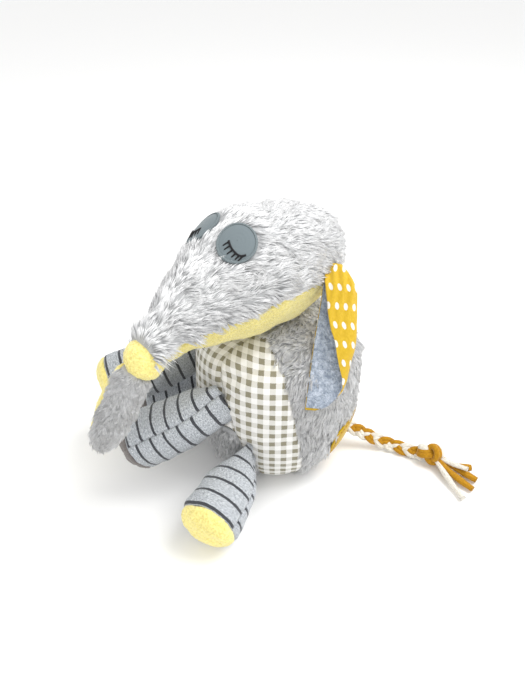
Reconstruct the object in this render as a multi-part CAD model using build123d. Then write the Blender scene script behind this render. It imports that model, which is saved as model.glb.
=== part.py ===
"""Stuffed keepsake elephant, sitting, with a patchwork body and a braided tail.

Millimetres, +Z up. The elephant sits on the plane Z = 0 and looks along -Y;
its own left side is +X. The origin is the middle of the flat seat.
"""

import os
from math import asin, cos, degrees, pi, radians, sin

from build123d import *

os.makedirs("parts", exist_ok=True)

# ---------------------------------------------------------------- dimensions
CLOTH = 1.8                 # cloth with its turned seam allowance
FELT = 1.2                  # felt, thread and other pieces laid on the cloth
GAP = 1.4                   # free space between two sewn-together moving parts

# half section of the body (radius, height), from the seat to the crown
BODY_PROFILE = [(46, 0), (55, 4), (64.5, 15), (72, 33), (77, 60), (78, 95), (75.5, 124),
                (68, 141), (56, 149.5), (38, 156), (20, 159.2), (7, 160.2), (0, 160.3)]
# half width of the front panel at each height
FRONT_SEAM = [(38, -1), (49, 8), (57, 30), (54, 66), (45, 95), (34, 130), (25, 150), (14, 166)]
BELLY_LINE = 74.0           # height of the seam between checked cloth and fur
BACK_SEAM_Y = -14.0         # side seam of the fur back, at BACK_SEAM_Z
BACK_SEAM_Z = 130.0
BACK_SEAM_SLOPE = 0.175

# head: distance along its axis, radius and sag of the section
HEAD_CENTRE = (11.0, -36.0, 214.5)
HEAD_TURN = 24.0            # the head looks this far to the elephant's left
HEAD_ROLL = -3.0
CHIN_LOW = 0.19             # the chin seam lies this share of the radius below the middle
HEAD_BACK = [(0, -109), (14, -106.5), (25.5, -98), (35, -86), (42, -72), (48, -53), (51.2, -26)]
HEAD_RADIUS = 51.5
SNOUT = [(-6, 51.5, 0), (2, 51.4, -0.1), (16, 48.7, -2.2), (32, 43.3, -6), (47, 37.2, -10),
         (61, 31, -14.2), (74, 25.2, -19.2), (86, 20, -24.6), (96, 17, -29.2), (104, 15.5, -33)]
BEND_AT = (102.0, -38.0)    # middle of the folded trunk, forward and up
BEND_R = 17.0

# hanging end of the trunk
TIP_TURN = 24.0
TIP_DROOP = 57.0
TIP_PROFILE = [(9, 6), (14, 10), (16.6, 18), (17.6, 34), (17, 52), (15, 65), (11, 73), (6, 77.3),
               (2, 78.8), (0, 79)]
TIP_STRIP = 9.5             # the fleece lining starts this far from the axis

# limbs: turn from straight ahead to the left, slope down, length, seam angle
ARM_Z, ARM_ROOT = 105.0, 33.0
LEG_Z, LEG_ROOT = 46.0, 52.0
LIMBS = {
    "left_arm": (ARM_Z, ARM_ROOT, -16.0, 29.5, 103.0, 33.0),
    "right_arm": (ARM_Z, -ARM_ROOT, -4.0, 15.0, 103.0, 36.0),
    "left_leg": (LEG_Z, LEG_ROOT, 44.0, 10.0, 87.0, 14.0),
    "right_leg": (LEG_Z, -LEG_ROOT, -17.0, 10.0, 87.0, 166.0),
}
LIMB_R = 26.8               # widest radius, near the pad
LIMB_ROOT_W = 20.5          # half width of the flattened, sewn root
LIMB_ROOT_T = 2.6           # half thickness of the flattened root
PAD_DEPTH = 13.0

# eyes: forward along the head, angle to either side of the crown, half sizes
EYE_AT, EYE_SIDE = 21.0, 26.0
EYE_LENGTH, EYE_WIDTH = 14.5, 16.0
LASH_W = 1.5

# ears: a leaf folded lengthwise, in its own plane
EARS = {
    "left": ((35.4, 42.6, 207.8), (0.480, -0.250, -0.841), (0.353, 0.932, -0.076)),
    "right": ((-63.5, 5.5, 206.5), (-0.220, 0.150, -0.964), (-0.150, 0.971, 0.185)),
}
EAR_FOLD_R = 6.0
EAR_FOLD_AT = 11.2
EAR_OUTER, EAR_LINING = 1.2, 1.6
EAR_FAR = [(-14, -8), (-14.5, 20), (-17, 55), (-18.8, 95), (-19.3, 114), (-10, 113.5), (2, 108.5),
           (9, 101), (14.5, 84), (19, 60), (19, 30), (15.5, 8), (9, -9)]
EAR_NEAR = [(-13, -8), (-14.5, 4), (-9.5, 23), (-4.8, 44), (4.3, 68), (9.5, 88), (14, 86), (19, 60),
            (19, 30), (15.5, 8), (9, -9)]

# tail
TAIL_TURN = 158.0           # where the tail leaves the body
TAIL_D = 11.5
TAIL_ROUTE = [(29.9, 73.4, 24.0), (43.0, 103.0, 6.6), (58.5, 120.0, 6.6), (71.5, 134.0, 6.6)]
KNOT_AT = (77.5, 139.5, 11.8)
KNOT_R = (14.5, 11.0, 11.2)
TAIL_ENDS = {
    "tail_end_mustard_1": ((101, 172, 4.4), 3.6, 0.8),
    "tail_end_mustard_2": ((117, 168, 4.4), 3.6, -0.2),
    "tail_end_mustard_3": ((126, 158, 4.4), 3.6, 0.3),
    "tail_end_white_1": ((108, 162, 12.5), 3.2, 0.0),
    "tail_end_white_2": ((133, 143, 4.0), 3.2, 0.0),
}
PATCH_W, PATCH_LOW, PATCH_HIGH = 74.0, 20.0, 76.0


# ------------------------------------------------------------------- helpers
def save(node, shape):
    """Write one named piece."""
    export_step(shape, f"parts/{node}.step")


def turned(points):
    """Solid of revolution about Z from (radius, height) points."""
    curve = Spline(*[(r, 0, z) for r, z in points])
    low, high = points[0], points[-1]
    edges = [curve]
    if low[0] > 0:
        edges.append(Line((0, 0, low[1]), (low[0], 0, low[1])))
    if high[0] > 0:
        edges.append(Line((high[0], 0, high[1]), (0, 0, high[1])))
    edges.append(Line((0, 0, high[1]), (0, 0, low[1])))
    return revolve(make_face(edges), Axis.Z)


def heading(turn, slope):
    """Unit vector turned to the left of straight ahead and sloping down."""
    return Vector(sin(radians(turn)) * cos(radians(slope)),
                  -cos(radians(turn)) * cos(radians(slope)),
                  -sin(radians(slope)))


def biggest(shape):
    """The largest solid of a cut."""
    return max(shape.solids(), key=lambda s: s.volume)


def slab(points, plane, reach):
    """Solid bounded by a closed smooth outline, both ways from its plane."""
    return extrude(plane * make_face(Spline(*points, periodic=True)), reach, both=True)


# ---------------------------------------------------------------------- body
def body_solid(grow):
    points = []
    for i, (r, z) in enumerate(BODY_PROFILE):
        lift = -grow if i == 0 else grow * (z - 80) / 82.5
        points.append((max(r + grow, 0) if r else 0, z + lift))
    return turned(points)


body_out = body_solid(0)
body_in = body_solid(-CLOTH)
body_gap = body_solid(GAP)
body_skin = body_out - body_in

front_curve = Spline(*[(x, 0, z) for x, z in FRONT_SEAM])
front_mirror = Spline(*[(-x, 0, z) for x, z in FRONT_SEAM])
low_x, low_z = FRONT_SEAM[0]
top_x, top_z = FRONT_SEAM[-1]
front_face = make_face([front_curve, front_mirror,
                        Line((-low_x, 0, low_z), (low_x, 0, low_z)),
                        Line((-top_x, 0, top_z), (top_x, 0, top_z))])
front_zone = extrude(front_face, 100, dir=(0, -1, 0))

seam_y_low = BACK_SEAM_Y + BACK_SEAM_SLOPE * (BACK_SEAM_Z + 10)
seam_y_top = BACK_SEAM_Y + BACK_SEAM_SLOPE * (BACK_SEAM_Z - 180)
back_face = make_face(Polyline((0, seam_y_low, -10), (0, 120, -10), (0, 120, 180),
                               (0, seam_y_top, 180), close=True))
back_zone = extrude(back_face, 100, dir=(1, 0, 0), both=True)
left_half = Pos(100, 0, 80) * Box(200, 300, 300)
belly_zone = Pos(0, -60, BELLY_LINE - 100) * Box(200, 119, 200)

front = body_skin & front_zone
back = (body_skin & back_zone) - front_zone
sides = body_skin - front_zone - back_zone
save("body_front_panel", biggest(front - belly_zone))
save("body_belly_panel", biggest(front & belly_zone))
save("body_left_side_panel", biggest(sides & left_half))
save("body_right_side_panel", biggest(sides - left_half))
save("body_left_back_panel", biggest(back & left_half))
save("body_right_back_panel", biggest(back - left_half))
save("body_stuffing", biggest(body_in))

tail_turn = radians(TAIL_TURN)
patch_plane = Plane(origin=(0, 0, (PATCH_LOW + PATCH_HIGH) / 2),
                    x_dir=(cos(tail_turn), sin(tail_turn), 0),
                    z_dir=(sin(tail_turn), -cos(tail_turn), 0))
patch_zone = extrude(patch_plane * RectangleRounded(PATCH_W, PATCH_HIGH - PATCH_LOW, 20), 120)
save("tail_patch", biggest((body_solid(FELT) - body_out) & patch_zone))

# ---------------------------------------------------------------------- head
head_turn = radians(HEAD_TURN)
head_roll = radians(HEAD_ROLL)
head_axis = Vector(sin(head_turn), -cos(head_turn), 0)
head_side = Vector(cos(head_turn) * cos(head_roll), sin(head_turn) * cos(head_roll), -sin(head_roll))
head_place = Plane(origin=HEAD_CENTRE, x_dir=head_side, z_dir=head_axis)


def head_solid(grow):
    """Teardrop in its own frame: x to its left, y up, z forward."""
    back_points = [(r + grow if r else 0, z - (grow if z < -100 else 0)) for r, z in HEAD_BACK]
    back_points.append((HEAD_RADIUS + grow, -6))
    curve = Spline(*[(r, 0, z) for r, z in back_points], tangents=((1, 0, 0), (0, 0, 1)))
    half = make_face([curve,
                      Line((HEAD_RADIUS + grow, 0, -6), (0, 0, -6)),
                      Line((0, 0, -6), (0, 0, back_points[0][1]))])
    rear = revolve(half, Axis.Z)
    rings = [Pos(0, sag, z) * Circle(r + grow) for z, r, sag in SNOUT]
    return biggest(rear + loft(rings))


head_out = head_solid(0)
head_in = head_solid(-CLOTH)
bend_ball = Pos(0, BEND_AT[1], BEND_AT[0]) * Sphere(BEND_R)
bend_core = Pos(0, BEND_AT[1], BEND_AT[0]) * Sphere(BEND_R - CLOTH)

chin_start = -CHIN_LOW * HEAD_RADIUS
chin_seam = [(0, sag - CHIN_LOW * r, z) for z, r, sag in SNOUT]
chin_face = make_face([Line((0, chin_start * 0.6, -130), chin_seam[0]),
                       Spline(*chin_seam, (0, -48, 130)),
                       Line((0, -48, 130), (0, -140, 130)),
                       Line((0, -140, 130), (0, -140, -130)),
                       Line((0, -140, -130), (0, chin_start * 0.6, -130))])
chin_zone = extrude(chin_face, 100, dir=(1, 0, 0), both=True)

head_skin = head_out - head_in - bend_ball
head_fur = biggest(head_skin - chin_zone)
chin = biggest(head_skin & chin_zone)
head_stuffing = biggest(head_in - bend_ball)


def place_head(shape):
    return head_place.location * shape


save("head_fur_panel", place_head(head_fur))
save("head_chin_panel", place_head(chin))
save("head_stuffing", place_head(head_stuffing))
save("trunk_bend_fleece", place_head(biggest(bend_ball - bend_core)))
save("trunk_bend_stuffing", place_head(bend_core))

# eyes: closed lid and lashes stitched on an oval patch
LID = [(4.4, -4.5), (6.1, -0.3), (6.5, 3.9), (5.9, 8.1), (3.8, 11.2), (1.1, 12.5)]
LASHES = [((4.8, -3.7), (9.2, -5.3)), ((6.0, -0.7), (10.4, -2.0)), ((6.5, 3.2), (11.0, 2.3)),
          ((6.2, 6.8), (10.0, 6.6)), ((5.0, 9.8), (8.8, 9.8)), ((3.0, 11.7), (7.6, 12.2))]
patch_layer = head_solid(FELT) - head_out
thread_layer = head_solid(FELT + 0.7) - head_solid(FELT)
for side, name in ((1, "left"), (-1, "right")):
    angle = radians(EYE_SIDE) * side
    eye_plane = Plane(origin=(0, 0, EYE_AT), x_dir=(0, 0, 1), z_dir=(sin(angle), cos(angle), 0))
    disc = extrude(eye_plane * Ellipse(EYE_LENGTH, EYE_WIDTH), 90)
    # the plane's own y points to the elephant's right
    lid_path = Spline(*[(x, -side * y) for x, y in LID])
    thread = extrude(eye_plane * trace(lid_path, LASH_W), 90)
    for (x0, y0), (x1, y1) in LASHES:
        thread += extrude(eye_plane * trace(Line((x0, -side * y0), (x1, -side * y1)), LASH_W), 90)
    save(f"{name}_eye_patch", place_head(biggest(patch_layer & disc)))
    save(f"{name}_eye_lashes", place_head(biggest(thread_layer & thread)))

# ----------------------------------------------------------------- trunk tip
bend_point = head_place.from_local_coords(Vector(0, BEND_AT[1], BEND_AT[0]))
tip_axis = heading(TIP_TURN, TIP_DROOP)
tip_place = Plane(origin=bend_point, x_dir=heading(TIP_TURN + 90, 0), z_dir=tip_axis)
tip_out = turned(TIP_PROFILE)
tip_in_points = [(r - min(CLOTH, r), z - CLOTH if z > 70 else z) for r, z in TIP_PROFILE if r != 2]
tip_in = turned(tip_in_points)
tip_room = Sphere(BEND_R + 0.8)
tip_skin = tip_out - tip_in - tip_room
# the lining faces forward and to the elephant's right
strip_zone = Rot(0, 0, 66) * (Pos(0, TIP_STRIP + 50, 40) * Box(100, 100, 140))
save("trunk_tip_fur", tip_place.location * biggest(tip_skin - strip_zone))
save("trunk_tip_lining", tip_place.location * biggest(tip_skin & strip_zone))
save("trunk_tip_stuffing", tip_place.location * biggest(tip_in - tip_room))

# ---------------------------------------------------------------------- ears
def folded(radius):
    """Long U shaped bar: x to the rear, y through the fold, z down."""
    mid = EAR_FOLD_R - 1.0
    bar = Pos(EAR_FOLD_AT, mid, 50) * Cylinder(radius, 200)
    return bar + Pos(EAR_FOLD_AT - 50, mid, 50) * Box(100, 2 * radius, 200)


flat = Plane(origin=(0, 0, 0), x_dir=(1, 0, 0), z_dir=(0, -1, 0))
mid_plane = EAR_FOLD_R - 1.0
inner_side = Pos(0, mid_plane - 50, 0) * Box(400, 100, 400)
far_cut = slab(EAR_FAR, flat, 60) & inner_side
near_cut = slab(EAR_NEAR, flat, 60) - inner_side
ear_cut = far_cut + near_cut
middle_r = EAR_FOLD_R - EAR_OUTER
outer_layer = (folded(EAR_FOLD_R) - folded(middle_r)) & ear_cut
lining_layer = (folded(middle_r) - folded(middle_r - EAR_LINING)) & ear_cut
head_room = place_head(head_solid(GAP))
for side, (top, down, rear) in EARS.items():
    ear_place = Plane(origin=top, x_dir=rear, z_dir=down).location
    for name, layer in (("outer", outer_layer), ("lining", lining_layer)):
        leaf = biggest(layer)
        if side == "right":
            leaf = mirror(leaf, Plane.XZ)
        save(f"{side}_ear_{name}", biggest(ear_place * leaf - head_room - body_gap))

# --------------------------------------------------------------------- limbs


def limb_solid(length, shrink):
    """Tube along Z: flattened where it is sewn in, round at the pad."""
    r = LIMB_R - shrink
    rings = []
    for z, w, t in ((-26, LIMB_ROOT_W, LIMB_ROOT_T), (-12, LIMB_ROOT_W, LIMB_ROOT_T),
                    (0, LIMB_ROOT_W + 0.4, 4.6), (11, LIMB_ROOT_W + 1.6, 11.5),
                    (22, 23.4, 18.6), (34, 24.6, 23.2)):
        rings.append(Pos(0, 0, z) * Ellipse(max(t - shrink, 0.7), w - shrink))
    rings.append(Pos(0, 0, 46) * Circle(25.4 - shrink))
    root = loft(rings)
    end = length - shrink
    outline = [(25.4 - shrink, 46), (26.3 - shrink, 62), (r, length - 22), (r - 0.6, length - 12),
               (r - 7.5, end - 3.4), (0, end)]
    curve = Spline(*[(x, 0, z) for x, z in outline], tangents=((0.05, 0, 1), (-1, 0, 0)))
    half = make_face([curve,
                      Line((0, 0, end), (0, 0, 46)),
                      Line((0, 0, 46), (25.4 - shrink, 0, 46))])
    return biggest(root + revolve(half, Axis.Z))


def body_radius(height):
    """Radius of the body at one height, above the seat rim."""
    curve = Spline(*[(r, 0, z) for r, z in BODY_PROFILE])
    samples = [curve @ (i / 400) for i in range(401)]
    return min(samples, key=lambda p: abs(p.Z - height)).X


limb_cache = {}
for name, (height, root_turn, turn, slope, length, seam) in LIMBS.items():
    if length not in limb_cache:
        limb_cache[length] = (limb_solid(length, 0), limb_solid(length, CLOTH))
    out, inner = limb_cache[length]
    axis = heading(turn, slope)
    thin = Vector(-axis.Y, axis.X, 0).normalized()
    wide = body_radius(height)
    root = Vector(wide * sin(radians(root_turn)), -wide * cos(radians(root_turn)), height)
    place = Plane(origin=root, x_dir=thin, z_dir=axis).location
    skin = out - inner
    pad_zone = Pos(0, 0, length - PAD_DEPTH + 50) * Box(200, 200, 100)
    upper_zone = Rot(0, 0, seam) * (Pos(0, 100, 50) * Box(300, 200, 300))
    pad = biggest(skin & pad_zone)
    tube = skin - pad_zone
    save(f"{name}_upper_panel", biggest(place * (tube & upper_zone) - body_gap))
    save(f"{name}_under_panel", biggest(place * (tube - upper_zone) - body_gap))
    save(f"{name}_pad", place * pad)
    save(f"{name}_stuffing", biggest(place * inner - body_gap))

# ---------------------------------------------------------------------- tail
points = [Vector(*p) for p in TAIL_ROUTE]
edges = []
start = points[0]
for before, corner, after in zip(points, points[1:], points[2:]):
    back_run = before - corner
    next_run = after - corner
    turn_angle = pi - radians(back_run.get_angle(next_run))
    cut = 0.45 * min(back_run.length, next_run.length)
    arc_start = corner + back_run.normalized() * cut
    arc_end = corner + next_run.normalized() * cut
    edges.append(Line(start, arc_start))
    edges.append(Edge.make_tangent_arc(arc_start, back_run.normalized() * -1, arc_end))
    print("tail bend radius", round(cut / (sin(turn_angle / 2) / cos(turn_angle / 2)), 1))
    start = arc_end
edges.append(Line(start, points[-1]))
route = Wire(edges)
ring = Plane(origin=points[0], z_dir=(points[1] - points[0]).normalized()) * Circle(TAIL_D / 2)
braid = sweep(ring, path=route)
knot_run = (points[-1] - points[-2]).normalized()
knot_turn = degrees(asin(knot_run.Y)) if knot_run.X > 0 else 180 - degrees(asin(knot_run.Y))
knot = Pos(*KNOT_AT) * (Rot(0, 0, knot_turn) * scale(Sphere(1.0), by=KNOT_R))
save("tail_braid", biggest(braid - knot))
save("tail_knot", knot)
taken = knot
for name, (tip, radius, bow) in TAIL_ENDS.items():
    tip_point = Vector(*tip)
    base = Vector(*KNOT_AT) + (tip_point - Vector(*KNOT_AT)) * 0.10
    side = (tip_point - base).cross(Vector(0, 0, 1)).normalized()
    middle = (tip_point + base) * 0.5 + side * bow * 4 + Vector(0, 0, 0)
    path = Spline(base, middle, tip_point)
    section = Plane(origin=base, z_dir=path % 0) * Ellipse(radius, radius * 0.8)
    strand = sweep(section, path=path)
    piece = biggest(strand - taken)
    taken = taken + piece
    save(name, piece)

print("solids written:", len(os.listdir("parts")))
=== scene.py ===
"""Looks of the stuffed patchwork elephant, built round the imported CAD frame.

Shapes are worked out in millimetres and become metres where a mesh is made.
The elephant looks along -Y, its own left side is +X, and it sits on Z = 0.
"""

from math import cos, pi, radians, sin

import bpy
import numpy as np
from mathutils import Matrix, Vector


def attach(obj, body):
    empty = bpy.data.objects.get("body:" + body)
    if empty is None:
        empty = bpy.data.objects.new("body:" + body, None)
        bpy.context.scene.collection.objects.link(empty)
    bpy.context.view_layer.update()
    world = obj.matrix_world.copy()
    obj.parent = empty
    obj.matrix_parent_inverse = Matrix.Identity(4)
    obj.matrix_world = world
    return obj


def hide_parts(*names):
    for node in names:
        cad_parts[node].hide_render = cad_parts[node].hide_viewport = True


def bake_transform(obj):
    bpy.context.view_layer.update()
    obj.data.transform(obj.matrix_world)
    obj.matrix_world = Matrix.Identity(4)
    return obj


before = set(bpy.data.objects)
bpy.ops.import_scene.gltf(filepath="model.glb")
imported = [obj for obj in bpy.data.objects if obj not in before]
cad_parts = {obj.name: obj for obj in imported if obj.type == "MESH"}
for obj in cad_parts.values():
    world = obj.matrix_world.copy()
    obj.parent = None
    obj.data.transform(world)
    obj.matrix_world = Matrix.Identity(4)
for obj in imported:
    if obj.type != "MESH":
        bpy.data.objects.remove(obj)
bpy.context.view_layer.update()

MM = 0.001
FLOOR_GAP = 0.2
UP = np.array((0.0, 0.0, 1.0))


# ---- camera
def placed(name, data):
    """A new object in the scene."""
    obj = bpy.data.objects.new(name, data)
    bpy.context.scene.collection.objects.link(obj)
    return obj


def aimed(name, data, where, way):
    """A new object in the scene that faces this way."""
    obj = placed(name, data)
    obj.location = where
    obj.rotation_mode = "QUATERNION"
    obj.rotation_quaternion = way.to_track_quat("-Z", "Y")
    return obj


def look(azimuth, elevation, distance, target, focal):
    """Camera round a target: azimuth 0 looks along +Y, 90 along -X."""
    a, e = radians(azimuth), radians(elevation)
    back = Vector((sin(a) * cos(e), -cos(a) * cos(e), sin(e)))
    data = bpy.data.cameras.new("camera")
    data.lens = focal
    data.sensor_width = 36.0
    data.clip_start = 0.01
    bpy.context.scene.camera = aimed("camera", data, Vector(target) + back * distance, -back)


look(azimuth=72.0, elevation=36.0, distance=0.600, target=(-0.0042, -0.0133, 0.119), focal=32.5)


# ---- small maths
def unit(v):
    """Vectors at length 1."""
    v = np.asarray(v, float)
    return v / np.maximum(np.linalg.norm(v, axis=-1, keepdims=True), 1e-12)


def circle(count):
    """Angles once round."""
    return np.linspace(0, 2 * pi, count, endpoint=False)


def bell(distance, width):
    """1 at no distance, and smoothly less further off."""
    return np.exp(-(distance / width) ** 2)


def run_of(path):
    """Distance along a path to each of its points."""
    return np.r_[0, np.cumsum(np.linalg.norm(np.diff(path, axis=0), axis=1))]


def along(path, count):
    """The path again with evenly spread points, and the distance to each."""
    run = run_of(path)
    even = np.linspace(0, run[-1], count)
    return np.stack([np.interp(even, run, path[:, c]) for c in range(path.shape[1])], 1), even


def spline(points, count):
    """Points spread evenly along a smooth curve through the given points."""
    p = np.array(points, float)
    k = run_of(p)
    n, h = len(p), np.diff(k)
    a, b = np.eye(n), np.zeros(p.shape)
    for i in range(1, n - 1):
        a[i, i - 1:i + 2] = h[i - 1], 2 * (h[i - 1] + h[i]), h[i]
        b[i] = 6 * ((p[i + 1] - p[i]) / h[i] - (p[i] - p[i - 1]) / h[i - 1])
    m = np.linalg.solve(a, b)
    u = np.linspace(0, k[-1], 60 * n)
    i = np.clip(np.searchsorted(k, u, side="right") - 1, 0, n - 2)
    x, y, w = (k[i + 1] - u)[:, None], (u - k[i])[:, None], h[i][:, None]
    dense = (m[i] * x ** 3 + m[i + 1] * y ** 3) / (6 * w)
    dense += (p[i] / w - m[i] * w / 6) * x + (p[i + 1] / w - m[i + 1] * w / 6) * y
    return along(dense, count)[0]


def waves(p, size, seed, count=11):
    """Smooth noise, mostly from -1 to 1, with lumps about size across."""
    rng = np.random.default_rng(seed)
    k = unit(rng.normal(size=(count, 3))) * (2 * pi / size) * rng.uniform(0.6, 1.5, (count, 1))
    phase = rng.uniform(0, 2 * pi, count)
    return np.sin(p @ k.T + phase).sum(-1) / (0.5 * count) ** 0.5 / 1.4


def groove(distance, depth, width):
    """How far cloth pulls in at this distance from a seam."""
    return -depth * bell(distance, width)


def grid_normals(P):
    """Unit normals of a grid of points, turned away from its middle."""
    n = np.cross(np.gradient(P, axis=1), np.gradient(P, axis=0))
    size = np.linalg.norm(n, axis=2)
    for row, near in ((0, 1), (-1, -2)):
        thin = size[row] < 1e-6 * max(size.max(), 1e-9) + 1e-9
        if thin.any():
            n[row, thin] = unit(n[near]).mean(0)
    n = unit(n)
    middle = P.reshape(-1, 3).mean(0)
    return -n if (n * (P - middle)).sum() < 0 else n


# ---- mesh making
def point_numbers(P):
    """The numbers of a grid's points."""
    return np.arange(P[..., 0].size).reshape(P.shape[:2])


def grid_quads(ids):
    """Faces between neighbours in a grid of point numbers."""
    return np.stack([ids[:-1, :-1], ids[:-1, 1:], ids[1:, 1:], ids[1:, :-1]], -1).reshape(-1, 4)


class Cloth:
    """Collects vertices, faces, pattern coordinates and per-point brightness (random tone plus painted light
    and shade), and makes one object.
    """

    def __init__(self):
        self.v, self.f, self.uv, self.tint, self.slot = [], [], [], [], []
        self.count = 0

    def add(self, verts, faces, uv=None, tint=0.0, slot=0):
        """Points, and blocks of faces that number them from 0."""
        verts = verts.reshape(-1, 3)
        n = len(verts)
        self.v.append(verts)
        self.uv.append(np.zeros((n, 2)) if uv is None else uv.reshape(-1, 2))
        self.tint.append(np.broadcast_to(tint, n))
        for block in faces:
            self.face(block + self.count, slot)
        self.count += n

    def face(self, block, slot=0):
        """Faces over points that are already there, one to a row."""
        self.f.append(block)
        self.slot.append(np.full(len(block), slot))

    def cap(self, first, count, turn=1, slot=0):
        """One face over a ring of points."""
        self.face((np.arange(count)[::turn] + first)[None], slot)

    def grid(self, P, uv=None, slot=0, loop=False):
        """A grid of points round an axis; loop joins its last ring to its first."""
        ids = point_numbers(P)
        ids = np.c_[ids, ids[:, :1]]
        if loop:
            ids = np.r_[ids, ids[:1]]
        self.add(P, [grid_quads(ids)], uv, slot=slot)

    def shell(self, P, thick, uv=None, tint=0.0, N=None):
        """A closed sheet: the grid, the grid moved in by its thickness, and the rim."""
        N = grid_normals(P) if N is None else N
        ids = point_numbers(P)
        quads = grid_quads(ids)
        edge = np.r_[ids[0, :-1], ids[:-1, -1], ids[-1, :0:-1], ids[:0:-1, 0]]
        after = np.roll(edge, -1)
        rim = np.stack([after, edge, edge + ids.size, after + ids.size], -1)
        both = np.r_[P.reshape(-1, 3), (P - N * thick).reshape(-1, 3)]
        double = None if uv is None else np.concatenate([uv.reshape(-1, 2)] * 2)
        self.add(both, [quads, quads[:, ::-1] + ids.size, rim], double, tint)

    def tube(self, path, radius, sides=12, up=UP, flat=1.0, slot=0, loop=False):
        """A cord along a path; flat is its height as a share of its width."""
        step = np.roll(path, -1, 0) - np.roll(path, 1, 0) if loop else np.gradient(path, axis=0)
        t = unit(step)
        side = unit(np.cross(t, np.broadcast_to(up, t.shape)))
        top = np.cross(side, t)
        a = circle(sides)
        r = np.broadcast_to(radius, len(path))[:, None, None]
        ring = side[:, None] * np.cos(a)[:, None] + top[:, None] * np.sin(a)[:, None] * flat
        uv = np.stack(np.broadcast_arrays(a / (2 * pi) * 10, run_of(path)[:, None]), -1)
        begin = self.count
        self.grid(path[:, None] + ring * r, uv, slot, loop)
        if not loop:
            self.cap(begin, sides, slot=slot)
            self.cap(begin + (len(path) - 1) * sides, sides, -1, slot)

    def make(self, name, *materials):
        """The object, in metres."""
        verts = np.concatenate(self.v)
        verts[:, 2] = np.maximum(verts[:, 2], FLOOR_GAP)
        faces = [f for block in self.f for f in block.tolist()]
        mesh = bpy.data.meshes.new(name)
        mesh.from_pydata((verts * MM).tolist(), [], faces)
        corner = np.empty(len(mesh.loops), np.int32)
        mesh.loops.foreach_get("vertex_index", corner)
        layer = mesh.uv_layers.new(name="cloth")
        layer.data.foreach_set("uv", np.concatenate(self.uv)[corner].astype(np.float32).ravel())
        tint = mesh.attributes.new("tint", "FLOAT", "POINT")
        tint.data.foreach_set("value", np.concatenate(self.tint).astype(np.float32))
        mesh.polygons.foreach_set("material_index", np.concatenate(self.slot).astype(np.int32))
        mesh.polygons.foreach_set("use_smooth", np.ones(len(faces), bool))
        for m in materials:
            mesh.materials.append(m)
        mesh.validate()
        mesh.update()
        return placed(name, mesh)


def backing(P):
    """Pattern coordinates that give cloth under the pile the colour of its roots."""
    return np.zeros((*P.shape[:2], 2)) + (0, 0.22)


def fur(cloth, P, flow, clumps, seed, length, lift, spread, wild, keep, tint, width=1.0, per=5):
    """Pile on a grid of points: bunches of tapered strands that lean along flow.

    Bunches start where keep is true. Each has this many strands, about this long and wide,
    rising by lift of their length, spread over this many mm and turned aside by wild.
    """
    rng = np.random.default_rng(seed)
    N = grid_normals(P)
    a, b, c, d = P[:-1, :-1], P[:-1, 1:], P[1:, 1:], P[1:, :-1]
    area = np.linalg.norm(np.cross(c - a, d - b), axis=2).ravel() / 2
    cell = rng.choice(len(area), clumps, p=area / area.sum())
    i, j = np.divmod(cell, P.shape[1] - 1)
    x, y = rng.random((2, clumps, 1))

    def inside(G):
        return ((G[i, j] * (1 - x) + G[i, j + 1] * x) * (1 - y)
                + (G[i + 1, j] * (1 - x) + G[i + 1, j + 1] * x) * y)

    root, n = inside(P), unit(inside(N))
    chosen = keep(root)
    root, n = root[chosen], n[chosen]
    way = flow(root)
    way = unit(way - n * (way * n).sum(1, keepdims=True))
    turn = waves(root, 26, seed + 1) * wild + rng.normal(0, 0.16, len(root))
    way = way * np.cos(turn)[:, None] + np.cross(n, way) * np.sin(turn)[:, None]
    side = np.cross(n, way)
    size = length * (1 + 0.16 * waves(root, 18, seed + 2)) * rng.uniform(0.82, 1.15, len(root))
    rise = lift * (1 + 0.35 * waves(root, 14, seed + 3)) * rng.uniform(0.75, 1.25, len(root))
    # random tone of each bunch, plus the painted light and shade given for the piece
    shade = rng.normal(0, 0.5, len(root)) + 0.7 * waves(root, 16, seed + 4) + tint(root)
    root, n, way, side = (np.repeat(g, per, 0) for g in (root, n, way, side))
    size, rise, shade = (np.repeat(g, per) for g in (size, rise, shade))
    k = len(root)
    off = rng.normal(0, spread * 0.5, (k, 2))
    shift = way * off[:, :1] + side * off[:, 1:]
    size = size * rng.uniform(0.75, 1.1, k)
    rise = rise * rng.uniform(0.8, 1.25, k)
    shade = shade + rng.normal(0, 0.45, k)
    start = root + shift - n * 0.6
    tip_shift = shift * 0.45 + side * rng.normal(0, 0.5, (k, 1))
    # three corners at the root, three halfway and the tip
    line = [start + way * (size * s)[:, None]
            + n * (size * rise * (s - 0.42 * s * s) * 1.5)[:, None] + (tip_shift - shift) * s
            for s in (0.0, 0.5, 1.0)]
    corners = circle(3) + pi / 2
    verts = [at + (side * cos(angle) + n * sin(angle)) * width * 0.5 * w
             for at, w in zip(line, (1.0, 0.85)) for angle in corners] + [line[2]]
    heights = (0, 0, 0, 0.5, 0.5, 0.5, 1)
    shade = np.repeat(shade, len(verts))
    base = np.arange(k)[:, None] * len(verts)
    after = ((0, 1), (1, 2), (2, 0))
    quads = np.concatenate([base + np.array([[m, o, 3 + o, 3 + m]]) for m, o in after])
    tips = np.concatenate([base + np.array([[3 + m, 3 + o, 6]]) for m, o in after])
    cloth.add(np.stack(verts, 1), [quads, tips], np.stack([shade, np.tile(heights, k)], 1), shade)


def hand_over(piece, slot, *nodes, body=None, fill=None):
    """What the piece stands for, which is hidden, and what it moves with; its finish (slot) and how full it
    is (fill) are not used.
    """
    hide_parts(*nodes)
    if body:
        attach(piece, body)


# ---- materials
def srgb(r, g, b):
    """A colour as seen on a screen, made linear."""
    return [((c + 0.055) / 1.055) ** 2.4 if c > 0.04 else c / 12.92 for c in (r, g, b)] + [1.0]


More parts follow.
